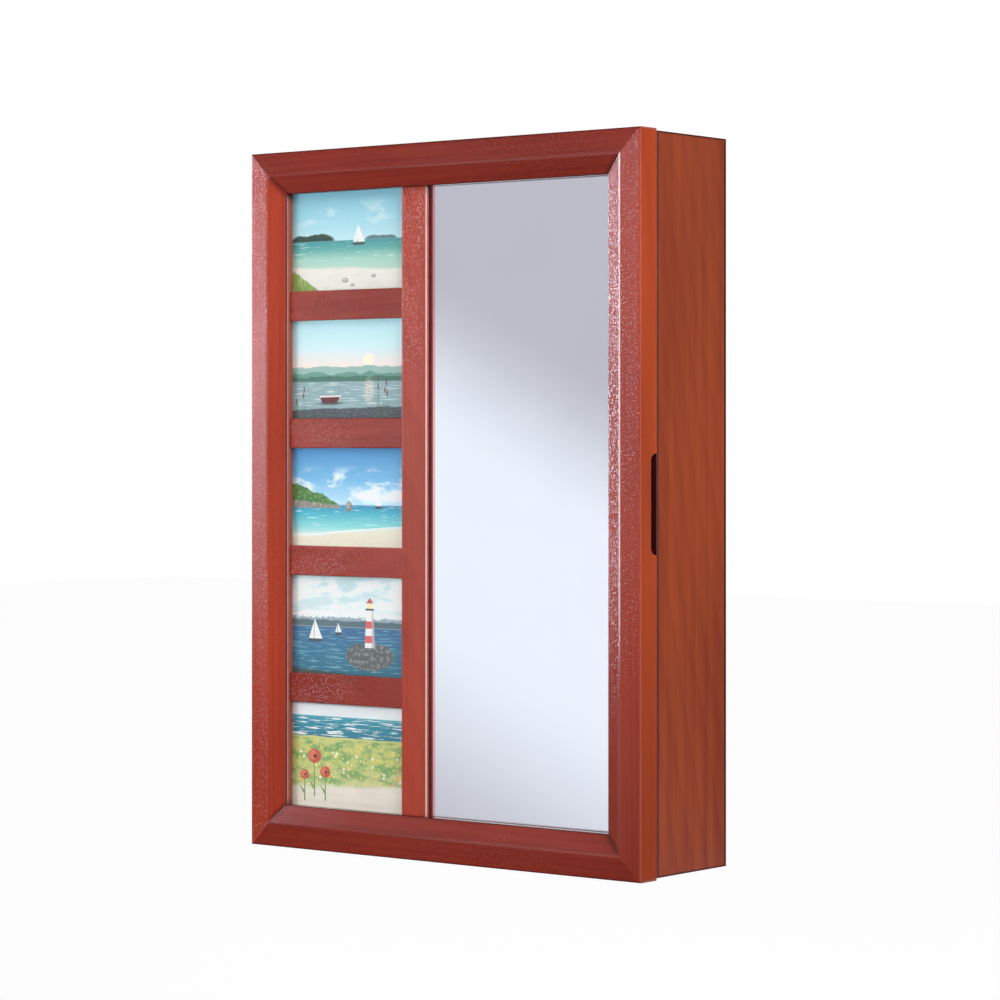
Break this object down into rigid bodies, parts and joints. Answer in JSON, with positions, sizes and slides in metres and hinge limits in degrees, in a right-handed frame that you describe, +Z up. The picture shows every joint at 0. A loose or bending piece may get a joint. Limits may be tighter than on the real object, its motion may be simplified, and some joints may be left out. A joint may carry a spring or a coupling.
{
  "type": "wall-mounted jewelry armoire",
  "caption": "Shallow wooden wall cabinet for jewelry whose hinged overlay door carries a tall mirror beside a column of landscape photo frames.",
  "frame": {"origin": "centre of the case's flat back face, where it lies on the wall", "axes": "+Y out of the back face into the wall, +Z up along the height, +X to the right seen from the front"},
  "size_m": [0.4093, 0.1206, 0.5842],
  "materials": {
    "lacquered_wood": "semi-gloss cherry lacquer over open grain",
    "inner_wood": "satin cherry stain",
    "velvet": "matt velvet pile",
    "felt": "matt felt",
    "brass": "satin brass",
    "steel": "zinc-plated steel",
    "fibreboard": "smooth brown hardboard",
    "print_paper": "satin photographic print",
    "clear_pane": "clear glazing",
    "mirror": "silvered flat glass",
    "dark_plastic": "matt moulded plastic"
  },
  "bodies": {
    "case": {"side_board_left": "lacquered_wood", "side_board_right": "lacquered_wood", "top_board": "lacquered_wood", "bottom_board": "lacquered_wood", "back_panel": "fibreboard", "hanging_rail": "inner_wood", "velvet_linings": "velvet", "necklace_hooks": "brass", "upright_divider": "inner_wood", "earring_bars": "inner_wood", "middle_shelf": "inner_wood", "lower_shelf": "inner_wood", "shelf_lips": "lacquered_wood", "ring_rolls": "velvet", "bracelet_rod": "brass", "rod_sockets": "brass", "lower_partitions": "inner_wood", "magnet_catch": "dark_plastic", "catch_magnet": "steel", "catch_screws": "steel", "hinge_upper_case_leaf": "brass", "hinge_lower_case_leaf": "brass", "hinge_pins": "brass", "case_hinge_screws": "brass"},
    "door": {"door_top_rail": "lacquered_wood", "door_bottom_rail": "lacquered_wood", "door_hinge_stile": "lacquered_wood", "door_latch_stile": "lacquered_wood", "divider_stile": "lacquered_wood", "photo_bar_1": "lacquered_wood", "photo_bar_2": "lacquered_wood", "photo_bar_3": "lacquered_wood", "photo_bar_4": "lacquered_wood", "mirror": "mirror", "mirror_backer": "fibreboard", "glazing_points": "steel", "photo_panes": "clear_pane", "photo_1": "print_paper", "photo_2": "print_paper", "photo_3": "print_paper", "photo_4": "print_paper", "photo_5": "print_paper", "photo_backer_1": "fibreboard", "photo_backer_2": "fibreboard", "photo_backer_3": "fibreboard", "photo_backer_4": "fibreboard", "photo_backer_5": "fibreboard", "button_screws": "brass", "strike_plate": "steel", "strike_screws": "steel", "door_bumpers": "felt", "hinge_upper_door_leaf": "brass", "hinge_lower_door_leaf": "brass", "door_hinge_screws": "brass"},
    "turn_button_1": {"turn_button_1": "brass"},
    "turn_button_2": {"turn_button_2": "brass"},
    "turn_button_3": {"turn_button_3": "brass"},
    "turn_button_4": {"turn_button_4": "brass"}
  },
  "joints": [
    {"name": "door_swing", "type": "hinge", "parent": "case", "child": "door", "pos_m": [-0.2035, -0.09615, 0], "axis": [0, 0, -1], "range_deg": [0, 110]},
    {"name": "turn_button_1_turn", "type": "hinge", "parent": "door", "child": "turn_button_1", "pos_m": [-0.1066, -0.1011, 0.1626], "axis": [0, 1, 0], "range_deg": [0, 90]},
    {"name": "turn_button_2_turn", "type": "hinge", "parent": "door", "child": "turn_button_2", "pos_m": [-0.1066, -0.1011, 0.0558], "axis": [0, 1, 0], "range_deg": [0, 90]},
    {"name": "turn_button_3_turn", "type": "hinge", "parent": "door", "child": "turn_button_3", "pos_m": [-0.1066, -0.1011, -0.051], "axis": [0, 1, 0], "range_deg": [0, 90]},
    {"name": "turn_button_4_turn", "type": "hinge", "parent": "door", "child": "turn_button_4", "pos_m": [-0.1066, -0.1011, -0.1578], "axis": [0, 1, 0], "range_deg": [0, 90]}
  ]
}
